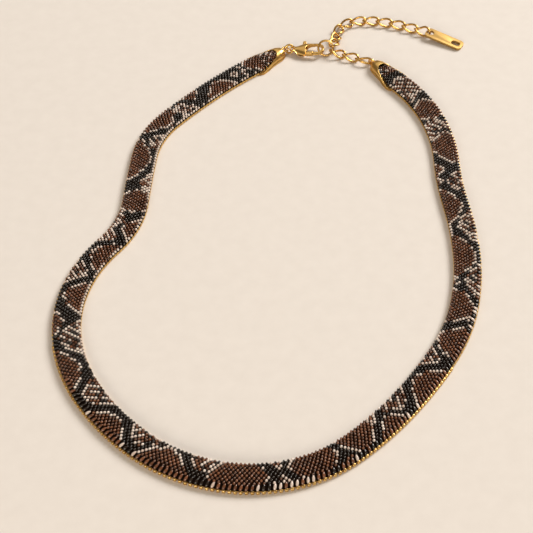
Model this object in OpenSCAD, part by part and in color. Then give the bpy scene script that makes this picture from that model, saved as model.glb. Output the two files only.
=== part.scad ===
// Snakeskin band necklace, laid in an open loop and closed by its lobster clasp.
// Millimetres, +Z up. The origin is under the middle of the laid-out necklace, on the surface that
// carries it, with the clasp at the back (+Y) and the front of the band towards -Y.

/* [Band] */
// Width of the band, measured over its gold ribs
band_w = 9; // [8.8:0.1:9.2]
// Thickness of the ribbed gold back
back_t = 0.9; // [0.8:0.05:1]
// Height of the beaded face above the back, along its crown
face_h = 1.5; // [1.3:0.05:1.6]
// How far the beaded face stays inside the ribs on either side
face_inset = 0.2; // [0.1:0.05:0.3]
// Length of each curved stretch of the band
stretch = 20; // [19.8:0.1:20.2]
// Straight length from the tip of the left end cap to the first curve
lead_in = 11.6; // [11.5:0.1:11.8]
// Straight length from the last curve to the tip of the right end cap
lead_out = 14.1; // [14:0.1:14.2]

/* [End caps] */
// Length of an end cap from its nose to the ends of its lip
cap_len = 14; // [13.6:0.2:14.4]
// Distance from the nose to the top of the lip
lip_start = 4.3; // [4:0.1:4.6]
// Height of the lip at its top
lip_high = 2.75; // [2.6:0.05:2.9]
// Height of the lip where it runs out along the band
lip_low = 0.75; // [0.6:0.05:0.9]
// Thickness of the flat eye on the nose
eye_t = 0.7; // [0.65:0.05:0.75]
// Radius of the hole in an eye
eye_hole_r = 0.78; // [0.76:0.01:0.8]
// Outer radius of an eye
eye_r = 1.3; // [1.25:0.05:1.35]
// Height of the middle of an eye that lies flat
eye_z = 1.75; // [1.7:0.05:1.8]

/* [Rings] */
// Outer diameter of the small jump ring
jump_d = 3.7; // [3.6:0.05:3.8]
// Wire of the small jump ring
jump_wire = 0.7; // [0.65:0.05:0.75]
// Lean of the small jump ring, from lying flat
jump_lean = 70; // [66:1:74]
// Outer diameter of the large closing ring
close_d = 5.9; // [5.8:0.05:5.95]
// Wire of the large closing ring
close_wire = 0.7; // [0.65:0.01:0.72]
// Lean of the large closing ring, from lying flat
close_lean = 48; // [47:0.5:49]

/* [Clasp] */
// Width of the lobster clasp
clasp_w = 6; // [5.8:0.1:6.2]
// Thickness of the lobster clasp
clasp_t = 2.2; // [2.1:0.05:2.3]
// Distance from the clasp's eye to the centre of its rounded nose
clasp_reach = 7.9; // [7.85:0.05:7.95]
// Width of the clasp's window
window_w = 3.9; // [3.8:0.05:4]
// Thickness of the lever's plate in its slot
lever_t = 0.8; // [0.7:0.05:0.85]
// Radius of the lever's pivot pin
pin_r = 0.4; // [0.35:0.05:0.45]

/* [Extender chain] */
// Wire of a curb link
link_wire = 0.7; // [0.65:0.01:0.71]
// Outer length of a curb link
link_len = 6.5; // [6.48:0.01:6.52]
// Distance from one link's middle to the next between the ring and the right cap, where they are pulled straight
cap_run_pitch = 4.87; // [4.86:0.01:4.88]
// Distance from one link's middle to the next in the free tail, which lies slack
tail_run_pitch = 4.76; // [4.75:0.01:4.77]
// Outer width of a curb link
link_w = 4.1; // [4:0.1:4.2]

/* [Tag] */
// Length of the bar tag
tag_len = 14; // [13.6:0.1:14.4]
// Width of the bar tag
tag_w = 4.6; // [4.4:0.1:4.8]
// Thickness of the bar tag
tag_t = 0.9; // [0.85:0.05:0.95]
// Rise of the bar tag in degrees, towards the chain that lifts it
tag_rise = 4.4; // [4.3:0.1:4.5]

/* [Hidden] */
$fa = 6;
$fs = 0.1;

gold = "goldenrod";
// A hair's breadth that cutting tools run past the faces they cut
over = 0.1;
// Gap kept between the clasp's moving pieces
play = 0.1;
// Gap between a cap and the band it holds
cap_play = 0.17;

// Where the tip of the left end cap lies, and the direction in which the band leaves it
route_start = [1.76, 78.67];
route_heading = -142.5;
// Turn of each curved stretch in degrees, to the left where positive, from the left cap to the right
turns = [8, 5, 34, 3, -35, 25, 27, 21, 17, 23, 26, 27, 11, 8, 18, 13, 9, -9, 18, 22];

// A place on the route is [x, y, heading]
function go_straight(at, l) = [at[0] + l * cos(at[2]), at[1] + l * sin(at[2]), at[2]];
function bend_r(turn) = stretch / (turn * PI / 180);
function go_round(at, turn) = let (r = bend_r(turn), h = at[2]) [
    at[0] + r * (sin(h + turn) - sin(h)),
    at[1] - r * (cos(h + turn) - cos(h)),
    h + turn
];
route_first = go_straight([route_start[0], route_start[1], route_heading], lead_in);
function place(i) = i == 0 ? route_first : go_round(place(i - 1), turns[i - 1]);
places = [for (i = [0 : len(turns)]) place(i)];
route_last = places[len(turns)];
route_end = go_straight(route_last, lead_out);

// Rings of the band's section stand this many to a stretch
ring_steps = 4;
function turned_by(i, k) = turns[i] * k / ring_steps;
function on_stretch(i, k) = let (r = bend_r(turns[i]), at = places[i], t = turned_by(i, k)) [
    at[0] + r * (sin(at[2] + t) - sin(at[2])),
    at[1] - r * (cos(at[2] + t) - cos(at[2])),
    at[2] + t
];

// Rounded crown over a flat base: the upper half of a superellipse, as [across, up] points
crown_steps = 8;
function sgn_pow(v, p) = sign(v) * pow(abs(v), p);
function crown(w, h, base, fullness) = [
    for (i = [0 : crown_steps])
        let (a = 180 * i / crown_steps)
        [w / 2 * sgn_pow(cos(a), fullness), base + h * sgn_pow(sin(a), fullness)]
];
band_fullness = 0.72;
function face_ring(w, base, share, grow) = crown(w - 2 * face_inset + 2 * grow,
    face_h * share + 2 * grow, base + back_t - grow, band_fullness);
// The back: a flat strip with its lower edges eased
back_ease = 0.25;
function back_ring(w, base, grow) = let (half = w / 2 + grow, top = base + back_t + grow) [
    [half, top], [-half, top],
    [-half, base + back_ease], [-half + back_ease, base - grow],
    [half - back_ease, base - grow], [half, base + back_ease]
];

// Solid skinned through rings of [x, y, z] points
module skin(rings) {
    n = len(rings[0]);
    last = len(rings) - 1;
    polyhedron(
        points = [for (r = rings) for (p = r) p],
        faces = concat(
            [[for (j = [0 : n - 1]) j]],
            [for (i = [0 : last - 1]) for (j = [0 : n - 1])
                let (k = (j + 1) % n) [i * n + j, (i + 1) * n + j, (i + 1) * n + k]],
            [for (i = [0 : last - 1]) for (j = [0 : n - 1])
                let (k = (j + 1) % n) [i * n + j, (i + 1) * n + k, i * n + k]],
            [[for (j = [n - 1 : -1 : 0]) last * n + j]]
        )
    );
}
// Stands a ring of [across, up] points upright at a place, across to the left of its heading
function stand(at, ring) = [for (p = ring)
    [at[0] - p[0] * sin(at[2]), at[1] + p[0] * cos(at[2]), p[1]]];

// The band narrows into a cap. Columns: distance from the nose, width, lift of the underside,
// and share of the face's full height
taper_len = 11.6;
taper = [
    [3.0, 4.6, 0.45, 0.80],
    [5.0, 5.3, 0.45, 0.92],
    [7.0, 6.1, 0.45, 1.00],
    [9.0, 7.2, 0.45, 1.00],
    [10.5, 8.2, 0.30, 1.00],
    [taper_len, band_w, 0.00, 1.00]
];
left_nose = [route_start[0], route_start[1], route_heading];
// Every ring of the band as [place, width, lift, share], from the left cap to the right one
band_rows = concat(
    [for (t = taper) [go_straight(left_nose, t[0]), t[1], t[2], t[3]]],
    [for (i = [0 : len(turns) - 1]) for (k = [0 : ring_steps - 1])
        if (i + k > 0) [on_stretch(i, k), band_w, 0, 1]],
    [[route_last, band_w, 0, 1]],
    [for (i = [len(taper) - 1 : -1 : 0]) let (t = taper[i])
        [go_straight(route_last, lead_out - t[0]), t[1], t[2], t[3]]]
);
// The hollow in a cap that holds the narrowing stretch, from the nose along +X
function hollow_at(t) = [t[0] > taper[0][0] ? t[0] : t[0] - cap_play, 0, 0];
module face_hollow() {
    skin([for (t = taper) stand(hollow_at(t), face_ring(t[1], t[2], t[3], cap_play))]);
}
module back_hollow() {
    skin([for (t = taper) stand(hollow_at(t), back_ring(t[1], t[2], cap_play))]);
}

// Puts children, drawn from the nose along +X, at the left or the right end of the route
module at_left_end() {
    translate([route_start[0], route_start[1], 0]) rotate(route_heading) children();
}
module at_right_end() {
    translate([route_end[0], route_end[1], 0]) rotate(route_end[2] + 180) children();
}

module band_back() {
    color(gold) skin([for (r = band_rows) stand(r[0], back_ring(r[1], r[2], 0))]);
}
module band_face() {
    color("saddlebrown") skin([for (r = band_rows) stand(r[0], face_ring(r[1], r[2], r[3], 0))]);
}

// Outer form of a cap. Columns: distance from the nose, width, and height
cap_form = [
    [0.0, 2.0, 1.9],
    [0.3, 3.0, 2.4],
    [1.0, 4.3, 2.9],
    [2.5, 5.7, 3.25],
    [4.5, 6.4, 3.3],
    [7.0, 7.3, 3.3],
    [9.5, 8.7, 3.3],
    [12.0, 9.9, 3.2],
    [cap_len, 9.9, 3.2]
];
cap_fullness = 0.8;
floor_end = 9.6;
lip_slope = atan((lip_high - lip_low) / (cap_len - lip_start));

// Flat eye: a round tab on a stem, with a hole straight through it
module eye(stem) {
    difference() {
        union() {
            cylinder(r = eye_r, h = eye_t, center = true);
            translate([0, -eye_r, -eye_t / 2]) cube([stem, 2 * eye_r, eye_t]);
        }
        cylinder(r = eye_hole_r, h = eye_t + 2 * over, center = true);
    }
}
// How far the centre of an eye's hole stands out from the nose
eye_out = 0.75;

module end_cap(eye_roll, eye_yaw, eye_up) {
    difference() {
        skin([for (c = cap_form) stand([c[0], 0, 0], crown(c[1], c[2], 0, cap_fullness))]);
        face_hollow();
        back_hollow();
        // The band's full width runs out of the mouth
        translate([taper_len - over, 0, 0]) rotate([90, 0, 90])
            linear_extrude(cap_len) polygon(back_ring(band_w, 0, cap_play));
        translate([taper_len - over, 0, 0]) rotate([90, 0, 90])
            linear_extrude(cap_len) polygon(face_ring(band_w, 0, 1, cap_play));
        // The mouth has no floor, so that the band lies down on the surface
        translate([floor_end, -band_w / 2, -over]) cube([cap_len, band_w, back_t]);
        // The lip slopes back from the top of the hood to the edges of the band
        translate([lip_start, -band_w, lip_high]) rotate([0, lip_slope, 0])
            cube([cap_len + band_w, 2 * band_w, band_w]);
    }
    translate([-eye_out, 0, eye_up]) rotate([eye_roll, 0, eye_yaw]) eye(2 * eye_out);
}
// The left eye lies flat for the jump ring
module end_cap_left() {
    color(gold) at_left_end() end_cap(0, 0, eye_z);
}
// The right eye stands on its edge, turned towards the chain
right_eye_turn = 17;
module end_cap_right() {
    color(gold) at_right_end() end_cap(90, right_eye_turn, eye_r);
}

// Ring of round wire, leaning about its own X axis
module wire_ring(d, wire, lean) {
    rotate([lean, 0, 0]) rotate_extrude()
        translate([(d - wire) / 2, 0]) circle(d = wire);
}
// Height at which a leaning ring just rests on the surface
function ring_rest(d, wire, lean) = (d - wire) / 2 * sin(lean) + wire / 2;

// Places beside the left cap's nose
function from_nose(x, y) = [route_start[0] + x, route_start[1] + y, 0];
jump_at = from_nose(2.05, 0.6);
jump_turn = 5;
module jump_ring() {
    color(gold)
        translate([jump_at[0], jump_at[1], ring_rest(jump_d, jump_wire, jump_lean)])
        rotate(jump_turn) wire_ring(jump_d, jump_wire, jump_lean);
}
close_at = from_nose(14.7, 0.45);
close_turn = -4;
module closing_ring() {
    color(gold)
        translate([close_at[0], close_at[1], ring_rest(close_d, close_wire, close_lean)])
        rotate(close_turn) wire_ring(close_d, close_wire, close_lean);
}

// The clasp, drawn with its eye over the origin and its nose along +X. Its nose rides up on the
// closing ring's wire, so the whole clasp is tipped about its tail.
clasp_eye = from_nose(3.5, 0.75);
clasp_heading = -3;
clasp_tip = 6;
clasp_drop = 0.12;
clasp_eye_z = 1.8;
module at_clasp() {
    translate([clasp_eye[0], clasp_eye[1], -clasp_drop]) rotate([0, -clasp_tip, clasp_heading]) children();
}
pivot = [3.3, -0.9];
slot_t = lever_t + 2 * play;
slot_start = 1.9;
slot_end = 5;
// The gate's free end is an arc round the pivot, so that it swings clear of the rail
gate_r = 3.95;
gate_start = 4.6;
gate_w = 1.1;
gate_inset = 0.4;
window_start = 6.45;
window_end = clasp_reach + 0.2;
module clasp_outline() {
    half = clasp_w / 2;
    polygon([[0.3, 1], [4.2, half], [clasp_reach, half], [clasp_reach, -half], [2.6, -half],
        [1.2, -2.4], [0.3, -1]]);
    translate([clasp_reach, 0]) circle(r = half);
}
module clasp_window() {
    for (x = [window_start, window_end]) translate([x, 0]) circle(d = window_w);
    translate([window_start, -window_w / 2]) square([window_end - window_start, window_w]);
}
// Side view of the clasp: the hook is thinner than the body
module clasp_profile() {
    thin = 0.5;
    tip = 2 * clasp_reach;
    polygon([[-eye_r, 0], [slot_end, 0], [clasp_reach, thin], [tip, thin],
        [tip, clasp_t - thin], [clasp_reach, clasp_t - thin], [slot_end, clasp_t], [-eye_r, clasp_t]]);
}
// Gap in the near rail that the lever's gate closes. Its inner side lies inside the window, and its far
// end follows the gate's arc.
gap_inner = -1;
gap_arc_start = 6;
module gate_gap() {
    difference() {
        translate([gate_start - 2 * play, -clasp_w]) square([gate_r, clasp_w + gap_inner]);
        difference() {
            translate([gap_arc_start, -clasp_w]) square([gate_r, clasp_w]);
            translate(pivot) circle(r = gate_r + play);
        }
    }
}
module clasp_body() {
    color(gold) at_clasp() {
        difference() {
            intersection() {
                linear_extrude(clasp_t) difference() {
                    clasp_outline();
                    clasp_window();
                    gate_gap();
                }
                rotate([90, 0, 0]) linear_extrude(2 * clasp_w, center = true) clasp_profile();
            }
            // Slot for the lever's plate
            translate([slot_start, -clasp_w, (clasp_t - slot_t) / 2])
                cube([slot_end - slot_start, 2 * clasp_w, slot_t]);
            // The tail narrows to the flat eye
            translate([-eye_r, -clasp_w, clasp_eye_z + eye_t / 2]) cube([2 * eye_r, 2 * clasp_w, clasp_t]);
            translate([-eye_r, -clasp_w, -over])
                cube([2 * eye_r, 2 * clasp_w, clasp_eye_z - eye_t / 2 + over]);
            translate([0, 0, -over]) cylinder(r = eye_hole_r, h = clasp_t + 2 * over);
        }
        translate([0, 0, clasp_eye_z]) eye(slot_start - 2 * play);
        // Riveted pin
        translate([pivot[0], pivot[1], over]) cylinder(r = pin_r, h = clasp_t - 2 * over);
    }
}
lever_boss_r = 1.2;
module lever_plate() {
    translate(pivot) circle(r = lever_boss_r);
    polygon([[2.5, -0.9], [3.4, 3.5], [4.6, 3.5], [4.4, -0.9]]);
    polygon([[2.9, -2.0], [3.4, -2.6], [4.9, -2.85], [4.9, -1.9], [4.2, -1.5], [4.2, -0.9], [2.9, -0.9]]);
}
knob_at = [4, 3.65];
knob_r = 0.6;
module clasp_lever() {
    knob_end = 0.45;
    pin_play = 0.07;
    color(gold) at_clasp() difference() {
        union() {
            translate([0, 0, (clasp_t - lever_t) / 2]) linear_extrude(lever_t) lever_plate();
            // Thumb knob
            translate([knob_at[0], knob_at[1], knob_end]) cylinder(r = knob_r, h = clasp_t - 2 * knob_end);
            translate([0, 0, gate_inset]) linear_extrude(clasp_t - 2 * gate_inset) intersection() {
                translate([gate_start, -clasp_w / 2 + gate_inset / 4]) square([gate_r, gate_w]);
                translate(pivot) circle(r = gate_r);
            }
        }
        translate([pivot[0], pivot[1], -over]) cylinder(r = pin_r + pin_play, h = clasp_t + 2 * over);
    }
}

// Curb links. Columns: heading, rise of the head end, twist at the tail end, twist at the head end,
// all in degrees, and height of the link's lowest point. The first run joins the closing ring to the
// right cap, and the second hangs free from the ring.
cap_run = [
    [-22, -6, -64, 50, 0],
    [-24, 0, -38, 50, 0],
    [-20, 3, -40, 12, 0]
];
tail_run = [
    [75, -15, -30, 46, 1.05],
    [82, -12, -40, 50, 0],
    [70, 0, -48, 54, 0],
    [36, 0, -44, 54, 0],
    [8, 0, -36, 52, 0],
    [-6, 0, -26, 52, 0],
    [-14, 0, -24, 52, 0],
    [-19, 0, -22, 52, 0],
    [-24, 0, -24, 52, 0],
    [-28, 4, -38, 84, 0]
];
function half_step(row, pitch) = pitch / 2 * cos(row[1]) * [cos(row[0]), sin(row[0]), 0];
function link_at(start, run, pitch, i) = i == 0 ? start
    : link_at(start, run, pitch, i - 1) + half_step(run[i - 1], pitch) + half_step(run[i], pitch);
link_stations = 16;
link_sides = 6;
// Point on the middle of the wire, at angle a round a flat oval that is then twisted about X
function link_mid(a, t0, t1) = let (
    twist = (t0 + t1) / 2 + (t1 - t0) / 2 * cos(a),
    across = (link_w - link_wire) / 2 * sin(a)
) [(link_len - link_wire) / 2 * cos(a), across * cos(twist), across * sin(twist)];
function unit(v) = v / norm(v);
function link_ring(a, t0, t1) = let (
    mid = link_mid(a, t0, t1),
    ahead = unit(link_mid(a + 1, t0, t1) - link_mid(a - 1, t0, t1)),
    out = unit(mid - ahead * (mid * ahead)),
    up = cross(ahead, out)
) [for (j = [0 : link_sides - 1]) let (b = 360 * j / link_sides)
    mid + link_wire / 2 * (cos(b) * out + sin(b) * up)];
module curb_link(at, row) {
    lean = [0, -row[1], 0];
    n = link_sides;
    points = [for (i = [0 : link_stations - 1])
        each link_ring(360 * i / link_stations, row[2], row[3])];
    rest = -min([for (p = points) p[0] * sin(row[1]) + p[2] * cos(row[1])]);
    translate(at + [0, 0, rest + row[4]]) rotate([0, 0, row[0]]) rotate(lean) polyhedron(
        points = points,
        faces = [for (i = [0 : link_stations - 1]) for (j = [0 : n - 1])
            let (i2 = (i + 1) % link_stations, j2 = (j + 1) % n)
            each [[i * n + j, i2 * n + j, i2 * n + j2], [i * n + j, i2 * n + j2, i * n + j2]]]
    );
}
cap_run_start = from_nose(18.8, -1);
tail_run_start = from_nose(17.8, 2.7);
module cap_link(i) {
    color(gold) curb_link(link_at(cap_run_start, cap_run, cap_run_pitch, i), cap_run[i]);
}
module tail_link(i) {
    color(gold) curb_link(link_at(tail_run_start, tail_run, tail_run_pitch, i), tail_run[i]);
}
function two_digits(i) = i < 10 ? str("0", i) : str(i);

// The bar tag, drawn from the middle of its round hole along +X, and tipped up at that end. The head
// of the last link passes through the hole.
last_link = len(tail_run) - 1;
last_heading = tail_run[last_link][0];
// The link's wire lies a little to the near side of the hole's middle
tag_slack = 0.25;
tag_at = link_at(tail_run_start, tail_run, tail_run_pitch, last_link)
    + ((link_len - link_wire) / 2 + tag_slack) * [cos(last_heading), sin(last_heading), 0];
tag_heading = -31;
tag_hole_r = 1.2;
tag_corner = 1.4;
// From the middle of the hole to the tag's near end
tag_end = 1.7;
// Slot near the far end: its two ends, measured back from there, and its width
slot_from = 4.2;
slot_to = 1.0;
tag_slot_w = 2.3;
module rounded_bar(x0, x1, w, r) {
    if (w > 2 * r) translate([x0, -w / 2 + r]) square([x1 - x0, w - 2 * r]);
    translate([x0 + r, -w / 2]) square([x1 - x0 - 2 * r, w]);
    for (x = [x0 + r, x1 - r]) for (y = [-w / 2 + r, w / 2 - r]) translate([x, y]) circle(r = r);
}
module bar_tag() {
    far = tag_len - tag_end;
    color(gold) translate([tag_at[0], tag_at[1], 0]) rotate(tag_heading)
        translate([far, 0, 0]) rotate([0, tag_rise, 0]) translate([-far, 0, 0])
        linear_extrude(tag_t) difference() {
            rounded_bar(-tag_end, far, tag_w, tag_corner);
            circle(r = tag_hole_r);
            rounded_bar(far - slot_from, far - slot_to, tag_slot_w, tag_slot_w / 2);
        }
}

band_back();
band_face();
end_cap_left();
end_cap_right();
jump_ring();
clasp_body();
clasp_lever();
closing_ring();
for (i = [0 : len(cap_run) - 1])
    cap_link(i);
for (i = [0 : len(tail_run) - 1])
    tail_link(i);
bar_tag();
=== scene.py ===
import math
import random

import bmesh
import bpy
import numpy as np
from mathutils import Matrix, Vector


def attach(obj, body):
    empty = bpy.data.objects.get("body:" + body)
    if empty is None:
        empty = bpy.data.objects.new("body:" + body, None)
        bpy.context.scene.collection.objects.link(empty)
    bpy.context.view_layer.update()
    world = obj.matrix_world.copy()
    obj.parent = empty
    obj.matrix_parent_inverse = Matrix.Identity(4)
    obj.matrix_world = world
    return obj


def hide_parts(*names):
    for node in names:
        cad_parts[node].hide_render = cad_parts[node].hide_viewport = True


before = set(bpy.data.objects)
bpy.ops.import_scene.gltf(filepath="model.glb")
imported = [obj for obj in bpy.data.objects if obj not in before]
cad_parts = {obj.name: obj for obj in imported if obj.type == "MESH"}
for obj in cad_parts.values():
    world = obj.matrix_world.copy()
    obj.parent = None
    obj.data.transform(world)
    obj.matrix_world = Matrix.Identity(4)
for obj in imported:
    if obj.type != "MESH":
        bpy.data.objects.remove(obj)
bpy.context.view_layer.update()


# Gold ribs and their core
# The band is built on a row of short gold-plated brass bars laid across it, a little over a
# millimetre apart and joined by a thin strip under the beads. Their rounded tips show as a row of
# gold dots along both edges.

MM = 0.001
BODY = "necklace"
LEFT_NOSE = (1.76, 78.67, math.radians(-142.5))
LEAD_IN, LEAD_OUT, STRETCH = 11.6, 14.1, 20.0
TURNS = (8, 5, 34, 3, -35, 25, 27, 21, 17, 23, 26, 27, 11, 8, 18, 13, 9, -9, 18, 22)
ROUTE = LEAD_IN + STRETCH * len(TURNS) + LEAD_OUT
# Distance from a cap's nose, half width of the band, lift of its underside, share of its height
TAPER = ((3.0, 2.3, 0.45, 0.8), (5.0, 2.65, 0.45, 0.92), (7.0, 3.05, 0.45, 1), (9.0, 3.6, 0.45, 1),
         (10.5, 4.1, 0.3, 1), (11.6, 4.5, 0, 1))


def along(s):
    """Place (x, y) in millimetres and heading of the band's middle, s millimetres from the left nose."""
    x, y, heading = LEFT_NOSE
    stretches = [(LEAD_IN, 0.0)] + [(STRETCH, math.radians(t)) for t in TURNS] + [(LEAD_OUT, 0.0)]
    for length, turn in stretches:
        part = min(s, length)
        if turn:
            r = length / turn
            now = heading + turn * part / length
            x += r * (math.sin(now) - math.sin(heading))
            y -= r * (math.cos(now) - math.cos(heading))
            heading = now
        else:
            x += part * math.cos(heading)
            y += part * math.sin(heading)
        s -= part
        if s <= 0:
            break
    return x, y, heading


def section(s):
    """Half width, lift and share of height of the band at s."""
    nose = min(s, ROUTE - s)
    columns = list(zip(*TAPER))
    return [float(np.interp(nose, columns[0], c)) for c in columns[1:]]


def band_frame(s):
    """Matrix that lays a shape, drawn in millimetres with +X along the band, +Y to its inner side and
    +Z up, at s."""
    x, y, heading = along(s)
    lift = section(s)[1]
    return (Matrix.Scale(MM, 4) @ Matrix.Translation((x, y, lift)) @ Matrix.Rotation(heading, 4, "Z"))


def mesh_arrays(bm):
    """Points and triangles of a small shape, as arrays, ready to be repeated."""
    bmesh.ops.triangulate(bm, faces=bm.faces[:])
    bm.verts.index_update()
    points = np.array([v.co[:] for v in bm.verts])
    faces = np.array([[v.index for v in f.verts] for f in bm.faces])
    bm.free()
    return points, faces


def spread(points, matrix):
    """The points of a small shape, moved by a matrix."""
    return points @ np.array(matrix.to_3x3()).T + np.array(matrix.translation)


def join(name, copies, faces, shades=None):
    """One mesh of many copies of a small shape, each given by its own points, and a shade for each."""
    n = len(copies[0])
    mesh = bpy.data.meshes.new(name)
    mesh.from_pydata(np.concatenate(copies).tolist(), [],
                     np.concatenate([faces + n * i for i in range(len(copies))]).tolist())
    mesh.shade_smooth()
    if shades is not None:
        tone = mesh.attributes.new("tone", "FLOAT", "POINT")
        tone.data.foreach_set("value", np.repeat(np.array(shades, dtype=np.float32), n))
    piece = bpy.data.objects.new(name, mesh)
    bpy.context.scene.collection.objects.link(piece)
    return piece


def from_bmesh(name, bm, smooth=True):
    """A piece made of a finished bmesh, which is freed."""
    mesh = bpy.data.meshes.new(name)
    bm.to_mesh(mesh)
    bm.free()
    if smooth:
        mesh.shade_smooth()
    piece = bpy.data.objects.new(name, mesh)
    bpy.context.scene.collection.objects.link(piece)
    return piece


class Wire:
    """A socket of a material, with arithmetic that adds its Math nodes."""

    def __init__(self, tree, socket):
        self.tree, self.socket = tree, socket

    def math(self, operation, other):
        return self.tree.add("ShaderNodeMath", {"operation": operation}, {0: self, 1: other})

    def __add__(self, other):
        return self.math("ADD", other)

    def __mul__(self, other):
        return self.math("MULTIPLY", other)


class Finish:
    """A material and its nodes. Settings are set first, then values or links of the sockets."""

    def __init__(self, name):
        self.material = bpy.data.materials.new(name)
        self.material.use_nodes = True
        self.nodes = self.material.node_tree.nodes
        self.links = self.material.node_tree.links
        self.shader = self.nodes["Principled BSDF"]

    def add(self, kind, settings=None, sockets=None, out=0):
        node = self.nodes.new(kind)
        for key, value in (settings or {}).items():
            if key == "stops":
                ramp = node.color_ramp
                while len(ramp.elements) > 1:
                    ramp.elements.remove(ramp.elements[-1])
                for i, (at, colour) in enumerate(value):
                    e = ramp.elements[0] if i == 0 else ramp.elements.new(at)
                    e.position, e.color = at, (*colour, 1)
            else:
                setattr(node, key, value)
        self.feed(node, sockets or {})
        return Wire(self, node.outputs[out])

    def feed(self, node, sockets):
        for key, value in sockets.items():
            if isinstance(value, Wire):
                self.links.new(value.socket, node.inputs[key])
            else:
                node.inputs[key].default_value = value

    def surface(self, **sockets):
        self.feed(self.shader, {k.replace("_", " "): v for k, v in sockets.items()})
        return self.material


def polished_gold(name, rubbed=0.5, painted_sheen=0.0):
    """Warm gold plating: polished, with a soft cloudiness and fine rub marks. The third argument makes the
    whole finish paler, a painted sheen that stands in for light.
    """
    f = Finish(name)
    at = f.add("ShaderNodeTexCoord", out="Object")
    clouds = f.add("ShaderNodeTexNoise", {}, {"Vector": at, "Scale": 420.0, "Detail": 3.0})
    rubs = f.add("ShaderNodeTexNoise", {}, {"Vector": at, "Scale": 2600.0, "Detail": 2.0})
    colour = f.add("ShaderNodeValToRGB", {"stops": [(0.3, (0.68, 0.4 + painted_sheen, 0.115 + painted_sheen)),
                                                   (0.7, (0.83, 0.545 + painted_sheen, 0.185 + painted_sheen))]},
                   {0: clouds})
    bump = f.add("ShaderNodeBump", {}, {"Height": rubs, "Strength": 0.12 * rubbed, "Distance": 0.00005})
    return f.surface(Base_Color=colour, Metallic=1.0, Roughness=clouds * 0.16 + (0.14 + 0.2 * rubbed),
                     Normal=bump)


RIB_PITCH = 1.34
RIB_START = 3.5
RIBS = int((ROUTE - 2 * RIB_START) / RIB_PITCH) + 1
rib_places = [RIB_START + RIB_PITCH * i for i in range(RIBS)]

# One rib: a bar with rounded edges and tips, whose two ends are pulled in to the band's width. Its inner tip
# stands back further, and so does its outer tip along both sides, where less gold shows than at the front
RIB_WIDE, RIB_HIGH, FULL_HALF = 0.98, 1.12, 4.5
INNER_BACK, OUTER_BACK = 0.45, 0.25
FRONT_START, FRONT_END = 150, 290
bm = bmesh.new()
bmesh.ops.create_cube(bm, size=1)
bmesh.ops.scale(bm, vec=(RIB_WIDE, 2 * FULL_HALF, RIB_HIGH), verts=bm.verts[:])
bmesh.ops.translate(bm, vec=(0, 0, RIB_HIGH / 2 + 0.01), verts=bm.verts[:])
bmesh.ops.bevel(bm, geom=bm.edges[:], offset=0.3, segments=3, affect="EDGES", profile=0.5, material=-1)
rib_points, rib_faces = mesh_arrays(bm)
rib_copies = []
for s in rib_places:
    pulled = rib_points.copy()
    pulled[:, 1] -= np.sign(pulled[:, 1]) * (FULL_HALF - section(s)[0])
    pulled[:, 1] -= INNER_BACK * (pulled[:, 1] > 0)
    pulled[:, 1] += OUTER_BACK * (pulled[:, 1] < 0) * (not FRONT_START < s < FRONT_END)
    rib_copies.append(spread(pulled, band_frame(s)))
ribs = join("gold_ribs", rib_copies, rib_faces)
# The ribs' gold, also used on the core, is a little paler all over than the other gold: a painted sheen for
# the light on the rib tips.
gold_rib = polished_gold("gold_rib", 0.6, 0.03)
ribs.data.materials.append(gold_rib)

# The core strip: its section is extruded along the route, one step after another
def draw_out(name, outline, stops, smooth=False):
    """Bar whose outline, a function of s that gives [across, up] points, is drawn out along stops."""
    bm = bmesh.new()

    def ring(s):
        m = band_frame(s)
        return [m @ Vector((0, across, up)) for across, up in outline(s)]

    points = [bm.verts.new(p) for p in ring(stops[0])]
    edges = bm.faces.new(points).edges[:]
    for s in stops[1:]:
        made = bmesh.ops.extrude_edge_only(bm, edges=edges)["geom"]
        edges = [g for g in made if isinstance(g, bmesh.types.BMEdge)]
        fresh = {g for g in made if isinstance(g, bmesh.types.BMVert)}
        points = [next(e.other_vert(v) for e in v.link_edges if e.other_vert(v) in fresh) for v in points]
        for v, p in zip(points, ring(s)):
            v.co = p
    bm.faces.new(points)
    bmesh.ops.recalc_face_normals(bm, faces=bm.faces[:])
    return from_bmesh(name, bm, smooth)


def core_outline(s):
    half = section(s)[0] - 0.7
    return [(half, 0.2), (half, 0.8), (-half, 0.8), (-half, 0.2)]


band_stops = [3.0 + (ROUTE - 6.0) * i / 320 for i in range(321)]
core = draw_out("gold_core", core_outline, band_stops)
core.data.materials.append(gold_rib)
for piece in (ribs, core):
    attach(piece, BODY)
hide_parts("band_back")


# Beaded face
# Glossy glass beads are sewn over a crowned dark bed in ten rows, every second row half a step further
# on. At the outer edge one long bead to each rib folds down over it. Dark brown saddles, ringed with
# cream and bordered with black, cross the band in turn from either edge.

FACE_INSET, FACE_BASE, FACE_HIGH, FULLNESS = 0.2, 0.9, 1.5, 0.72


def crown_point(s, turn, sink=0.0):
    """Place [across, up] on the crown at an angle round it, 0 at the inner edge and pi at the outer."""
    half, _, share = section(s)
    c, q = math.cos(turn), max(math.sin(turn), 0)
    return ((half - FACE_INSET - sink) * math.copysign(abs(c) ** FULLNESS, c),
            FACE_BASE + (FACE_HIGH * share - sink) * q ** FULLNESS)


def crown_turn(s, across):
    """Angle round the crown at which it stands across millimetres from the middle."""
    half = section(s)[0] - FACE_INSET
    return math.acos(math.copysign(min(abs(across) / half, 1) ** (1 / FULLNESS), across))


bed_turns = [math.pi * i / 12 for i in range(13)]
bed = draw_out("bead_bed", lambda s: [crown_point(s, t, 0.34) for t in bed_turns], band_stops, smooth=True)

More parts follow.
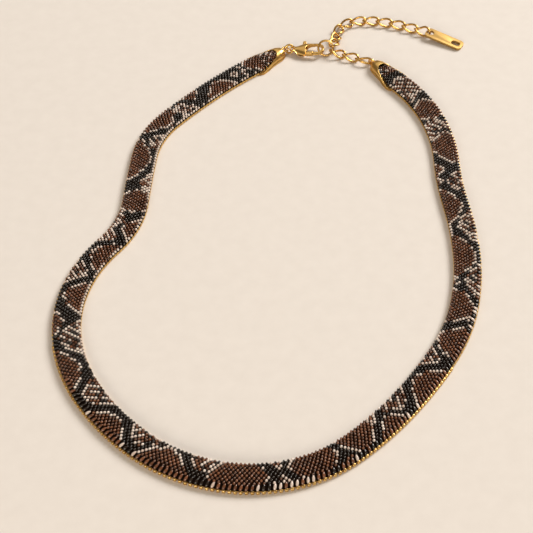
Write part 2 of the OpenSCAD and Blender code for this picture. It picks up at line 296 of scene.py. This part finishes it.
# Brown saddles and pale patches. Columns: start and end along the face in band widths, then the middle and
# the half height across it, where -0.5 is the outer edge and 0.5 the inner. Black is left between them
SADDLES = (
    (-2.7, -0.7, -0.15, 0.85), (0.05, 1.45, 0.5, 0.7), (1.5, 2.25, -0.5, 0.5), (2.75, 4.3, -0.45, 0.78),
    (4.65, 6.6, -0.4, 0.7), (7.15, 8.25, 0.0, 0.75), (8.5, 9.4, 0.5, 0.55), (9.65, 11.1, 0.5, 0.75),
    (11.65, 13.0, 0.5, 0.82), (12.95, 13.85, -0.5, 0.38), (14.4, 16.1, -0.5, 0.67),
    (16.85, 18.4, -0.5, 0.7), (18.85, 20.5, -0.4, 0.78), (21.0, 22.7, -0.05, 0.78),
    (23.35, 24.85, 0.15, 0.7), (25.0, 26.4, 0.5, 0.95), (26.2, 27.35, -0.5, 0.57),
    (27.75, 29.35, -0.5, 0.79), (29.8, 31.05, -0.25, 0.73), (31.1, 32.6, 0.5, 0.95),
    (33.1, 35.1, 0.5, 0.83), (35.6, 37.3, 0.5, 0.68), (37.95, 38.45, 0.5, 0.35), (38.55, 40.15, -0.18, 0.7),
    (40.85, 41.95, 0.0, 0.78),
)
PATCHES = (
    (-0.65, -0.4, 0.1, 0.5), (-0.35, 0.05, 0.05, 0.22), (2.0, 2.95, 0.5, 0.6), (4.0, 5.2, 0.5, 0.55),
    (6.25, 7.3, 0.5, 0.48), (8.2, 9.15, -0.5, 0.42), (9.1, 9.95, -0.5, 0.6), (10.8, 11.9, -0.5, 0.68),
    (13.3, 14.9, 0.5, 0.8), (15.7, 17.2, 0.5, 0.77), (18.1, 19.3, 0.5, 0.66), (20.3, 21.2, 0.5, 0.6),
    (22.8, 23.2, 0.5, 0.35), (22.75, 23.4, -0.5, 0.45), (23.2, 24.4, -0.5, 0.22),
    (24.75, 25.35, -0.5, 0.27),
    (26.3, 26.65, 0.45, 0.3), (26.8, 28.1, 0.5, 0.66), (29.05, 29.95, 0.5, 0.57), (31.1, 31.55, -0.5, 0.27),
    (32.75, 33.15, 0.5, 0.3), (32.25, 33.85, -0.5, 0.58), (34.65, 36.25, -0.5, 0.68),
    (35.15, 35.5, 0.5, 0.18), (36.85, 38.2, -0.5, 0.66), (37.35, 37.95, 0.5, 0.22), (2.3, 2.9, 0.0, 0.35),
    (40.25, 40.85, 0.1, 0.5), (39.7, 40.6, 0.5, 0.42), (40.2, 40.65, -0.4, 0.25), (42.0, 42.4, 0.3, 0.25),
    (42.3, 43.55, -0.05, 0.9),
)
FACE_START, BAND_WIDTH = 23.2, 8.99
CHART_START, CHART_END = -1.5, 43.75
SADDLE_RIM, PATCH_RIM = 0.045, 0.1


def face_place(s):
    """Place along the face in band widths, as the two tables count it."""
    return (s - FACE_START) / BAND_WIDTH


def gap_to(forms, u, v):
    """Distance, in band widths, from the nearest form's rim. It is below zero inside the form."""
    nearest = 9.0
    for start, end, middle, high in forms:
        half = (end - start) / 2

        def rim(u, v):
            return ((abs(u - start - half) / half) ** 1.4 + (abs(v - middle) / high) ** 1.4) ** (1 / 1.4)

        f, e = rim(u, v), 0.02
        slope = math.hypot(rim(u + e, v) - rim(u - e, v), rim(u, v + e) - rim(u, v - e)) / (2 * e)
        nearest = min(nearest, (f - 1) / max(slope, 0.5))
    return nearest


def bead_colour(u, v, light, chance):
    """Colour of the bead at (u, v). Beads are speckled near the caps and inside the patches, where light
    marks every second bead."""
    if u < CHART_START or u > CHART_END:
        return chance.choice(("cream", "brown") if light else ("brown", "brown", "black"))
    gap = gap_to(SADDLES, u, v) + chance.uniform(-0.015, 0.015)
    if gap < -SADDLE_RIM:
        return "brown"
    if gap < SADDLE_RIM:
        return chance.choice(("cream",) * 5 + ("brown",))
    gap = gap_to(PATCHES, u, v) + chance.uniform(-0.02, 0.02)
    if gap < -PATCH_RIM:
        return chance.choice(("cream",) * 3 + ("brown",) if light else ("brown", "brown", "black"))
    if gap < 0:
        return chance.choice(("cream",) * 4 + ("brown",))
    return "black"


# A bead: a sphere drawn out to a grain, of which only the dome stands clear of the bed
bm = bmesh.new()
bmesh.ops.create_uvsphere(bm, u_segments=8, v_segments=8, radius=1)
bmesh.ops.delete(bm, geom=[v for v in bm.verts if v.co.z < -0.5], context="VERTS")
bead_points, bead_faces = mesh_arrays(bm)

chance = random.Random(7)
LEAN = math.radians(24)
BEAD_PITCH = 1.22
# Rows from the outer edge to the inner: place across the full band, half width, half depth, height. The
# first stops where the long edge beads grow to their full length. Up to there, the last is mostly cream
LONG_FROM = 15.5
CREAM_FROM, CREAM_SHARE = -1, 0.75
CREAM_WIDE, CREAM_DEEP = 0.38, 0.42
ROWS = ((-3.28, 0.44, 0.44, 0.42), (-2.5, 0.44, 0.46, 0.42), (-1.68, 0.44, 0.46, 0.42),
        (-0.86, 0.44, 0.46, 0.42), (-0.04, 0.44, 0.46, 0.42), (0.78, 0.44, 0.46, 0.42),
        (1.6, 0.44, 0.46, 0.42), (2.42, 0.44, 0.46, 0.42), (3.22, 0.46, 0.45, 0.5), (3.9, 0.36, 0.46, 0.46))
beads = {"brown": [], "black": [], "cream": []}
for row, (place, wide, deep, high) in enumerate(ROWS):
    for column in range(int((ROUTE - 2 * RIB_START) / BEAD_PITCH)):
        s = RIB_START + BEAD_PITCH * (column + (0.5 if row % 2 else 0))
        squeeze = section(s)[0] / FULL_HALF
        across, u = place * squeeze, face_place(s)
        turn = crown_turn(s, across)
        a, b = crown_point(s, turn - 0.05), crown_point(s, turn + 0.05)
        slope = math.atan2(a[1] - b[1], a[0] - b[0])
        y, z = crown_point(s, turn, 0.3)
        kind = bead_colour(u, across / (2 * FULL_HALF), (column + row // 2) % 2 == 0, chance)
        if row == 0 and u > LONG_FROM:
            continue
        if row == len(ROWS) - 1 and CREAM_FROM < u < LONG_FROM and chance.random() < CREAM_SHARE:
            kind = "cream"
        if kind == "cream":
            wide, deep = min(wide, CREAM_WIDE), min(deep, CREAM_DEEP)
        at = (chance.uniform(-0.05, 0.05), y + chance.uniform(-0.04, 0.04), z)
        yaw = -LEAN + chance.uniform(-0.15, 0.15)
        lay = (band_frame(s) @ Matrix.Translation(at)
               @ Matrix.Rotation(slope, 4, "X") @ Matrix.Rotation(yaw, 4, "Z")
               @ Matrix.Diagonal((wide, deep * squeeze, high + chance.uniform(-0.05, 0.03), 1)))
        beads[kind].append((spread(bead_points, lay), chance.uniform(0, 1)))

# A long bead that folds over the edge: a sphere drawn out, then bent down round the crown's shoulder
bm = bmesh.new()
bmesh.ops.create_uvsphere(bm, u_segments=8, v_segments=10, radius=1)
bmesh.ops.rotate(bm, cent=(0, 0, 0), matrix=Matrix.Rotation(math.pi / 2, 3, "X"), verts=bm.verts[:])
long_points, long_faces = mesh_arrays(bm)
long_beads = {"brown": [], "black": [], "cream": []}
BEND_STEPS = 10
LONG_WIDE, LONG_DEEP = 0.42, 0.3
EDGE_V, EDGE_LIGHT = -0.44, 0.6
for s in rib_places:
    half, u = section(s)[0], face_place(s)
    low, high = 0.2, crown_turn(s, (0.6 if u > LONG_FROM else 0.8) * half)
    curve = [crown_point(s, low + (high - low) * k / BEND_STEPS, 0.2) for k in range(BEND_STEPS + 1)]
    kind = bead_colour(u, EDGE_V, chance.random() < EDGE_LIGHT, chance)
    bent = []
    for x, y, z in long_points:
        k = (1 - y) / 2 * BEND_STEPS
        i = min(int(k), BEND_STEPS - 1)
        (y0, z0), (y1, z1) = curve[i], curve[i + 1]
        far = math.hypot(y1 - y0, z1 - z0)
        out_y, out_z = (z1 - z0) / far, (y0 - y1) / far
        bent.append((x * LONG_WIDE - 0.3 * (y0 - half + 1),
                     -(y0 + (y1 - y0) * (k - i) + out_y * z * LONG_DEEP),
                     z0 + (z1 - z0) * (k - i) + out_z * z * LONG_DEEP))
    shade = chance.uniform(0, 0.4) if kind == "cream" else chance.uniform(0.3, 1)
    long_beads[kind].append((spread(np.array(bent), band_frame(s)), shade))


def glass(name, dark, light):
    """Glossy opaque glass, each bead a little lighter or darker than the next."""
    f = Finish(name)
    tone = f.add("ShaderNodeAttribute", {"attribute_name": "tone"}, out="Fac")
    at = f.add("ShaderNodeTexCoord", out="Object")
    streaks = f.add("ShaderNodeTexNoise", {}, {"Vector": at, "Scale": 1500.0, "Detail": 2.0})
    colour = f.add("ShaderNodeValToRGB", {"stops": [(0.15, dark), (0.9, light)]},
                   {0: tone * 0.75 + streaks * 0.35})
    bump = f.add("ShaderNodeBump", {}, {"Height": streaks, "Strength": 0.15, "Distance": 0.00004})
    return f.surface(Base_Color=colour, Roughness=streaks * 0.1 + 0.13, IOR=1.5, Coat_Weight=0.7,
                     Coat_Roughness=0.06, Normal=bump)


GLASS = {
    "brown": glass("brown_glass", (0.07, 0.025, 0.01), (0.24, 0.09, 0.04)),
    "black": glass("black_glass", (0.006, 0.003, 0.0012), (0.02, 0.01, 0.005)),
    "cream": glass("cream_glass", (0.7, 0.55, 0.47), (0.95, 0.84, 0.77)),
}
for kind, material in GLASS.items():
    for name, made, faces in ((kind + "_beads", beads[kind], bead_faces),
                              (kind + "_edge_beads", long_beads[kind], long_faces)):
        piece = join(name, [points for points, _ in made], faces, [shade for _, shade in made])
        piece.data.materials.append(material)
        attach(piece, BODY)

f = Finish("bead_bed")
bed.data.materials.append(f.surface(Base_Color=(0.006, 0.003, 0.002, 1), Roughness=0.9, IOR=1.1))
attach(bed, BODY)
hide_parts("band_face")


# End caps
# Each end of the band is glued into a cap of cast and polished brass: a hood over the nose whose lip
# runs out along both edges of the band above a narrow base flange, on a thin floor plate. A flat eye is
# cast on the nose.

CAP_LENGTH = 14.0
# Distance from the nose, half width, height
CAP_FORM = ((-0.3, 0.45, 1.2), (-0.12, 0.85, 1.65), (0.3, 1.5, 2.4), (1.0, 2.15, 2.9), (2.5, 2.85, 3.25),
            (4.5, 3.2, 3.3), (7.0, 3.65, 3.3), (9.5, 4.35, 3.3), (12.2, 4.85, 3.2), (14.0, 4.15, 3.2))
CAP_FULLNESS, HOOD_WALL = 0.8, 0.3
MOUTH, LIP_START, LIP_HIGH, LIP_LOW = 3.7, 4.3, 2.75, 0.5
EYE_OUT, EYE_HOLE, EYE_RIM, EYE_THICK = 0.75, 0.78, 1.3, 0.7


def cap_size(t):
    """Half width and height of the cap, t millimetres from its nose."""
    columns = list(zip(*CAP_FORM))
    return [float(np.interp(t, columns[0], c)) for c in columns[1:]]


def lip_angle(t):
    """Angle round the hood at which its lip runs, a quarter turn where the hood is closed."""
    if t <= MOUTH:
        return math.pi / 2
    half, high = cap_size(t)
    lip = LIP_HIGH - (LIP_HIGH - LIP_LOW) * (max(t, LIP_START) - LIP_START) / (CAP_LENGTH - LIP_START)
    straight = math.asin(min(lip / high, 1) ** (1 / CAP_FULLNESS))
    # the mouth begins as a half round
    part = min((t - MOUTH) / 1.7, 1)
    across = half * math.cos(straight) ** CAP_FULLNESS * math.sqrt(1 - (1 - part) ** 2)
    return math.acos(min(across / half, 1) ** (1 / CAP_FULLNESS))


def make_cap(name, node, nose, heading, eye_turn, eye_high):
    """Hood, floor plate and eye of one cap, from its nose along its heading."""
    bm = bmesh.new()
    along_cap, round_cap = 72, 20
    for side in (1, -1):
        made = bmesh.ops.create_grid(bm, x_segments=along_cap, y_segments=round_cap, size=1)["verts"]
        for v in made:
            i, j = (v.co.x + 1) / 2, (v.co.y + 1) / 2
            t = -0.3 + (CAP_LENGTH + 0.3) * i ** 1.35
            half, high = cap_size(t)
            a = lip_angle(t) * j
            across, up = half * math.cos(a) ** CAP_FULLNESS, high * math.sin(a) ** CAP_FULLNESS
            # crease between the lip and the base flange
            lip_up = high * math.sin(lip_angle(t)) ** CAP_FULLNESS
            crease = 0.42 * min(lip_up, 2.6)
            deep = 0.3 * min(max((t - 0.6) / 2, 0), 1) * min(max((CAP_LENGTH - t) / 4, 0.25), 1)
            across -= deep * math.exp(-((up - crease) / 0.22) ** 2)
            # the flange stands out a little beside the nose
            across += 0.22 * math.exp(-((up - 0.3) / 0.45) ** 2) * math.exp(-((t - 1.6) / 1.3) ** 2)
            v.co = (t, side * across, max(up, HOOD_WALL))
    bmesh.ops.remove_doubles(bm, verts=bm.verts[:], dist=0.004)
    rim = [e for e in bm.edges if e.is_boundary and all(v.co.x < -0.29 for v in e.verts)]
    if rim:
        bmesh.ops.holes_fill(bm, edges=rim, sides=0)
    bmesh.ops.recalc_face_normals(bm, faces=bm.faces[:])
    if max(bm.faces, key=lambda f: f.calc_center_median().z).normal.z < 0:
        bmesh.ops.reverse_faces(bm, faces=bm.faces[:])
    lay = Matrix.Scale(MM, 4) @ Matrix.Translation((nose[0], nose[1], 0)) @ Matrix.Rotation(heading, 4, "Z")
    bm.transform(lay)
    hood = from_bmesh(name, bm)
    wall = hood.modifiers.new("wall", "SOLIDIFY")
    wall.thickness, wall.offset, wall.use_even_offset = HOOD_WALL * MM, -1, False
    soft = hood.modifiers.new("soft", "SUBSURF")
    soft.levels = soft.render_levels = 1

    bm = bmesh.new()
    made = bmesh.ops.create_grid(bm, x_segments=30, y_segments=6, size=1)["verts"]
    for v in made:
        t = -0.1 + 9.7 * (v.co.x + 1) / 2
        v.co = (t, v.co.y * (cap_size(t)[0] - 0.12), 0.02)
    bmesh.ops.solidify(bm, geom=bm.faces[:], thickness=-0.26)
    bmesh.ops.recalc_face_normals(bm, faces=bm.faces[:])
    bm.transform(lay)
    plate = from_bmesh(name + "_floor", bm, smooth=False)

    # The eye: a rounded flat section spun round its hole
    bm = bmesh.new()
    bmesh.ops.create_grid(bm, x_segments=1, y_segments=1, size=0.5)
    bmesh.ops.scale(bm, vec=(EYE_RIM - EYE_HOLE, EYE_THICK, 1), verts=bm.verts[:])
    bmesh.ops.bevel(bm, geom=bm.verts[:], offset=0.18, segments=4, affect="VERTICES", profile=0.5,
                    material=-1)
    bmesh.ops.rotate(bm, cent=(0, 0, 0), matrix=Matrix.Rotation(math.pi / 2, 3, "X"), verts=bm.verts[:])
    bmesh.ops.translate(bm, vec=((EYE_RIM + EYE_HOLE) / 2, 0, 0), verts=bm.verts[:])
    outline = bm.edges[:]
    bmesh.ops.delete(bm, geom=bm.faces[:], context="FACES_ONLY")
    bmesh.ops.spin(bm, geom=outline, cent=(0, 0, 0), axis=(0, 0, 1), angle=2 * math.pi, steps=40,
                   use_merge=True)
    bmesh.ops.remove_doubles(bm, verts=bm.verts[:], dist=0.001)
    bmesh.ops.recalc_face_normals(bm, faces=bm.faces[:])
    roll, yaw = eye_turn
    bm.transform(lay @ Matrix.Translation((-EYE_OUT, 0, eye_high)) @ Matrix.Rotation(yaw, 4, "Z")
                 @ Matrix.Rotation(roll, 4, "X"))
    eye = from_bmesh(name + "_eye", bm)
    for piece in (hood, plate, eye):
        piece.data.materials.append(gold)
        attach(piece, BODY)
    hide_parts(node)


gold = polished_gold("polished_gold", 0.4)
make_cap("left_cap", "end_cap_left", LEFT_NOSE[:2], LEFT_NOSE[2], (0, 0), 1.75)
end_x, end_y, end_heading = along(ROUTE)
make_cap("right_cap", "end_cap_right", (end_x, end_y), end_heading + math.pi,
         (math.pi / 2, math.radians(17)), 1.3)


# Jump ring and closing ring
# Two rings bent from round gold-plated wire. A butted cut, closed with pliers, shows as a hairline.


RING_WIRE, CUT_GAP = 0.78, 0.05


def wire_ring(name, node, middle, turn, lean, outer, cut):
    """A ring of a given outer width, turned and leaning on the surface, with its cut at an angle."""
    bm = bmesh.new()
    bmesh.ops.create_circle(bm, cap_ends=False, segments=14, radius=RING_WIRE / 2)
    bmesh.ops.rotate(bm, cent=(0, 0, 0), matrix=Matrix.Rotation(math.pi / 2, 3, "X"), verts=bm.verts[:])
    bmesh.ops.translate(bm, vec=((outer - RING_WIRE) / 2, 0, 0), verts=bm.verts[:])
    gap = CUT_GAP / outer
    bmesh.ops.spin(bm, geom=bm.edges[:], cent=(0, 0, 0), axis=(0, 0, 1), angle=2 * math.pi - gap, steps=64)
    bmesh.ops.holes_fill(bm, edges=[e for e in bm.edges if e.is_boundary], sides=0)
    bmesh.ops.recalc_face_normals(bm, faces=bm.faces[:])
    high = (outer - RING_WIRE) / 2 * math.sin(lean) + RING_WIRE / 2
    bm.transform(Matrix.Scale(MM, 4) @ Matrix.Translation((*middle, high)) @ Matrix.Rotation(turn, 4, "Z")
                 @ Matrix.Rotation(lean, 4, "X") @ Matrix.Rotation(cut, 4, "Z"))
    ring = from_bmesh(name, bm)
    ring.data.materials.append(gold)
    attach(ring, BODY)
    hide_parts(node)


def from_nose(x, y):
    """Place on the surface, x and y millimetres from the left cap's nose."""
    return LEFT_NOSE[0] + x, LEFT_NOSE[1] + y


wire_ring("small_ring", "jump_ring", from_nose(2.05, 0.6), math.radians(5), math.radians(70), 3.7, 1.2)
wire_ring("large_ring", "closing_ring", from_nose(14.7, 0.45), math.radians(-4), math.radians(48), 5.9, 4.4)


# Lobster clasp
# The body and the sprung lever are cast in brass and tumbled until every edge is round, then plated. The
# lever sits in the body's slot on a riveted pin, with its thumb knob on the far side.

CLASP_EYE = (*from_nose(3.5, 0.75), -0.12)
CLASP_LAY = (Matrix.Scale(MM, 4) @ Matrix.Translation(CLASP_EYE) @ Matrix.Rotation(math.radians(-3), 4, "Z")
             @ Matrix.Rotation(math.radians(-6), 4, "Y"))


def cast(name, node, grain, tumbling, body, form=None):
    """A cast copy of a node: even skin, edges rounded by tumbling, and its surface swelled by form."""
    source = bmesh.new()
    source.from_mesh(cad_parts[node].data)
    bmesh.ops.remove_doubles(source, verts=source.verts[:], dist=1e-6)
    rough = from_bmesh(name + "_rough", source)
    skin = rough.modifiers.new("skin", "REMESH")
    skin.mode, skin.voxel_size, skin.adaptivity = "VOXEL", grain * MM, 0
    wear = rough.modifiers.new("wear", "SMOOTH")
    wear.factor, wear.iterations = 0.5, tumbling
    shaped = bpy.data.meshes.new_from_object(rough.evaluated_get(bpy.context.evaluated_depsgraph_get()))
    bpy.data.objects.remove(rough)
    bm = bmesh.new()
    bm.from_mesh(shaped)
    bpy.data.meshes.remove(shaped)
    if form:
        into = CLASP_LAY.inverted()
        for v in bm.verts:
            v.co = CLASP_LAY @ form(into @ v.co)
    piece = from_bmesh(name, bm)
    piece.data.materials.append(gold)
    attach(piece, body)
    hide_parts(node)
    return piece


def pillow(p):
    """The body is thickest along its middle and thins to its edges."""
    half = 1.0 + 2.0 * min(max((p.x - 0.3) / 3.9, 0), 1)
    edge = min(abs(p.y) / half, 1)
    swell = math.sqrt(1 - 0.88 * edge * edge)
    grow = min(max((p.x - 0.2) / 1.2, 0), 1)
    return Vector((p.x, p.y, 1.1 + (p.z - 1.1) * (1 + (swell - 1) * grow)))


cast("clasp", "clasp_body", 0.075, 12, BODY, pillow)
cast("clasp_thumb_lever", "clasp_lever", 0.07, 10, "clasp_lever")


# Extender chain
# Curb links, each an oval of round wire twisted so that the chain lies flat, and soldered shut. Three
# join the large ring to the right cap, and the rest hang free.

LINK_WIRE, LINK_LENGTH, LINK_WIDTH = 0.78, 6.5, 4.1
CAP_RUN_PITCH, TAIL_RUN_PITCH = 4.87, 4.76
# Heading, rise of the head end, twist at the tail end and at the head end, in degrees, and height of the
# link's lowest point
CAP_RUN = ((-22, -6, -64, 50, 0), (-24, 0, -38, 50, 0), (-20, 3, -40, 12, 0))
TAIL_RUN = ((75, -15, -30, 46, 1.05), (82, -12, -40, 50, 0), (70, 0, -48, 54, 0), (36, 0, -44, 54, 0),
            (8, 0, -36, 52, 0), (-6, 0, -26, 52, 0), (-14, 0, -24, 52, 0), (-19, 0, -22, 52, 0),
            (-24, 0, -24, 52, 0), (-28, 4, -38, 84, 0))


def link_middle(a, tail, head):
    """Point on the middle of the wire, at angle a round the twisted oval."""
    twist = (tail + head) / 2 + (head - tail) / 2 * math.cos(a)
    across = (LINK_WIDTH - LINK_WIRE) / 2 * math.sin(a)
    ahead = (LINK_LENGTH - LINK_WIRE) / 2 * math.cos(a)
    return Vector((ahead, across * math.cos(twist), across * math.sin(twist)))


def make_link(name, node, at, row):
    """One link with its middle over at. The wire is spun as a ring, then led along the twisted oval."""
    heading, rise, tail, head = (math.radians(x) for x in row[:4])
    bm = bmesh.new()
    bmesh.ops.create_circle(bm, cap_ends=False, segments=12, radius=LINK_WIRE / 2)
    bmesh.ops.rotate(bm, cent=(0, 0, 0), matrix=Matrix.Rotation(math.pi / 2, 3, "X"), verts=bm.verts[:])
    bmesh.ops.translate(bm, vec=(LINK_LENGTH, 0, 0), verts=bm.verts[:])
    bmesh.ops.spin(bm, geom=bm.edges[:], cent=(0, 0, 0), axis=(0, 0, 1), angle=2 * math.pi, steps=56,
                   use_merge=True)
    bmesh.ops.remove_doubles(bm, verts=bm.verts[:], dist=0.001)
    for v in bm.verts:
        a = math.atan2(v.co.y, v.co.x)
        off, up = math.hypot(v.co.x, v.co.y) - LINK_LENGTH, v.co.z
        middle = link_middle(a, tail, head)
        ahead = (link_middle(a + 0.02, tail, head) - link_middle(a - 0.02, tail, head)).normalized()
        out = (middle - ahead * middle.dot(ahead)).normalized()
        v.co = middle + out * off + ahead.cross(out) * up
    bmesh.ops.recalc_face_normals(bm, faces=bm.faces[:])
    bm.transform(Matrix.Rotation(heading, 4, "Z") @ Matrix.Rotation(-rise, 4, "Y"))
    rest = -min(v.co.z for v in bm.verts) + row[4]
    bm.transform(Matrix.Scale(MM, 4) @ Matrix.Translation((at.x, at.y, rest)))
    link = from_bmesh(name, bm)
    link.data.materials.append(gold)
    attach(link, BODY)
    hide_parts(node)


def lay_chain(start, run, pitch, first):
    """A run of links from start, each half a pitch along its own heading and half along the one before."""
    at, before = Vector((*start, 0)), None
    for i, row in enumerate(run):
        for r in (before, row):
            if before:
                step = pitch / 2 * math.cos(math.radians(r[1]))
                at += Vector((step * math.cos(math.radians(r[0])), step * math.sin(math.radians(r[0])), 0))
        make_link("chain_link_%02d" % (first + i), "link_%02d" % (first + i), at, row)
        before = row


lay_chain(from_nose(18.8, -1), CAP_RUN, CAP_RUN_PITCH, 1)
lay_chain(from_nose(17.8, 2.7), TAIL_RUN, TAIL_RUN_PITCH, len(CAP_RUN) + 1)


# Bar tag
# A stamped brass bar, brushed along its length and plated, with a round hole for the last link and a
# slot at the far end. Its edges are broken.

source = bmesh.new()
source.from_mesh(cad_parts["bar_tag"].data)
bmesh.ops.remove_doubles(source, verts=source.verts[:], dist=1e-6)
bmesh.ops.dissolve_limit(source, angle_limit=math.radians(2), verts=source.verts[:], edges=source.edges[:])
tag = from_bmesh("bar_tag_plate", source)
edges = tag.modifiers.new("broken_edges", "BEVEL")
edges.width, edges.segments, edges.limit_method, edges.angle_limit = 0.16 * MM, 3, "ANGLE", math.radians(50)
edges.harden_normals = True

f = Finish("brushed_shaded_gold")
at = f.add("ShaderNodeTexCoord", out="Object")
TAG_HEADING = math.radians(-31)
line = f.add("ShaderNodeMapping", {},
             {"Vector": at, "Rotation": (0, 0, -TAG_HEADING), "Scale": (120, 5200, 5200)})
brushed = f.add("ShaderNodeTexNoise", {}, {"Vector": line, "Scale": 1.0, "Detail": 3.0})
clouds = f.add("ShaderNodeTexNoise", {}, {"Vector": at, "Scale": 500.0, "Detail": 2.0})
# The tag's gold is darker than the other gold: a painted shade that stands in for the dim reflection on its
# face.
colour = f.add("ShaderNodeValToRGB", {"stops": [(0.3, (0.47, 0.295, 0.095)), (0.7, (0.59, 0.4, 0.15))]},
               {0: brushed * 0.6 + clouds * 0.4})
bump = f.add("ShaderNodeBump", {}, {"Height": brushed, "Strength": 0.35, "Distance": 0.00003})
tag.data.materials.append(f.surface(Base_Color=colour, Metallic=1.0, Roughness=brushed * 0.14 + 0.5,
                                    Normal=bump))
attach(tag, BODY)
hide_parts("bar_tag")


# Surface, light and camera
# A plain warm pale table top under a broad soft lamp high on the right. A weak warm card stands low in
# front and a dim one behind, and the camera looks down from in front, as the necklace was photographed.

floor_mesh = bmesh.new()
bmesh.ops.create_grid(floor_mesh, x_segments=1, y_segments=1, size=3)
floor = from_bmesh("table_top", floor_mesh)
f = Finish("table_top")
at = f.add("ShaderNodeTexCoord", out="Object")
mottle = f.add("ShaderNodeTexNoise", {}, {"Vector": at, "Scale": 240.0, "Detail": 5.0})
colour = f.add("ShaderNodeValToRGB", {"stops": [(0.1, (0.845, 0.798, 0.76)), (0.9, (0.79, 0.742, 0.703))]},
               {0: mottle})
floor.data.materials.append(f.surface(Base_Color=colour, Roughness=0.9))

world = bpy.data.worlds.new("room")
bpy.context.scene.world = world
world.use_nodes = True
world.node_tree.nodes["Background"].inputs["Color"].default_value = (1, 0.83, 0.64, 1)
world.node_tree.nodes["Background"].inputs["Strength"].default_value = 0.2

for name, place, across, energy, tint in (("lamp", (1.42, 1.32, 1.41), 1.1, 62.0, (1, 0.96, 0.9)),
                                          ("card", (-0.35, -1.0, 0.45), 0.55, 6.0, (1, 0.9, 0.76)),
                                          ("far_card", (-0.1, 1.15, 1.3), 1.5, 3.4, (1, 0.96, 0.9))):
    data = bpy.data.lights.new(name, "AREA")
    data.shape, data.size, data.energy, data.color = "DISK", across, energy, tint
    lamp = bpy.data.objects.new(name, data)
    bpy.context.scene.collection.objects.link(lamp)
    lamp.location = place
    lamp.rotation_euler = (-lamp.location).to_track_quat("-Z", "Y").to_euler()

LOOK_DOWN, FOCAL_PIXELS, PHOTO_PIXELS, SENSOR = 48.7, 1200, 533, 36
camera = bpy.data.objects.new("camera", bpy.data.cameras.new("camera"))
bpy.context.scene.collection.objects.link(camera)
camera.location = (-0.00422, -0.25517, 0.26706)
camera.rotation_euler = (math.radians(90 - LOOK_DOWN), 0, 0)
camera.data.sensor_width, camera.data.lens = SENSOR, SENSOR * FOCAL_PIXELS / PHOTO_PIXELS
camera.data.clip_start, camera.data.clip_end = 0.01, 10
bpy.context.scene.camera = camera
bpy.context.scene.view_settings.view_transform = "Standard"
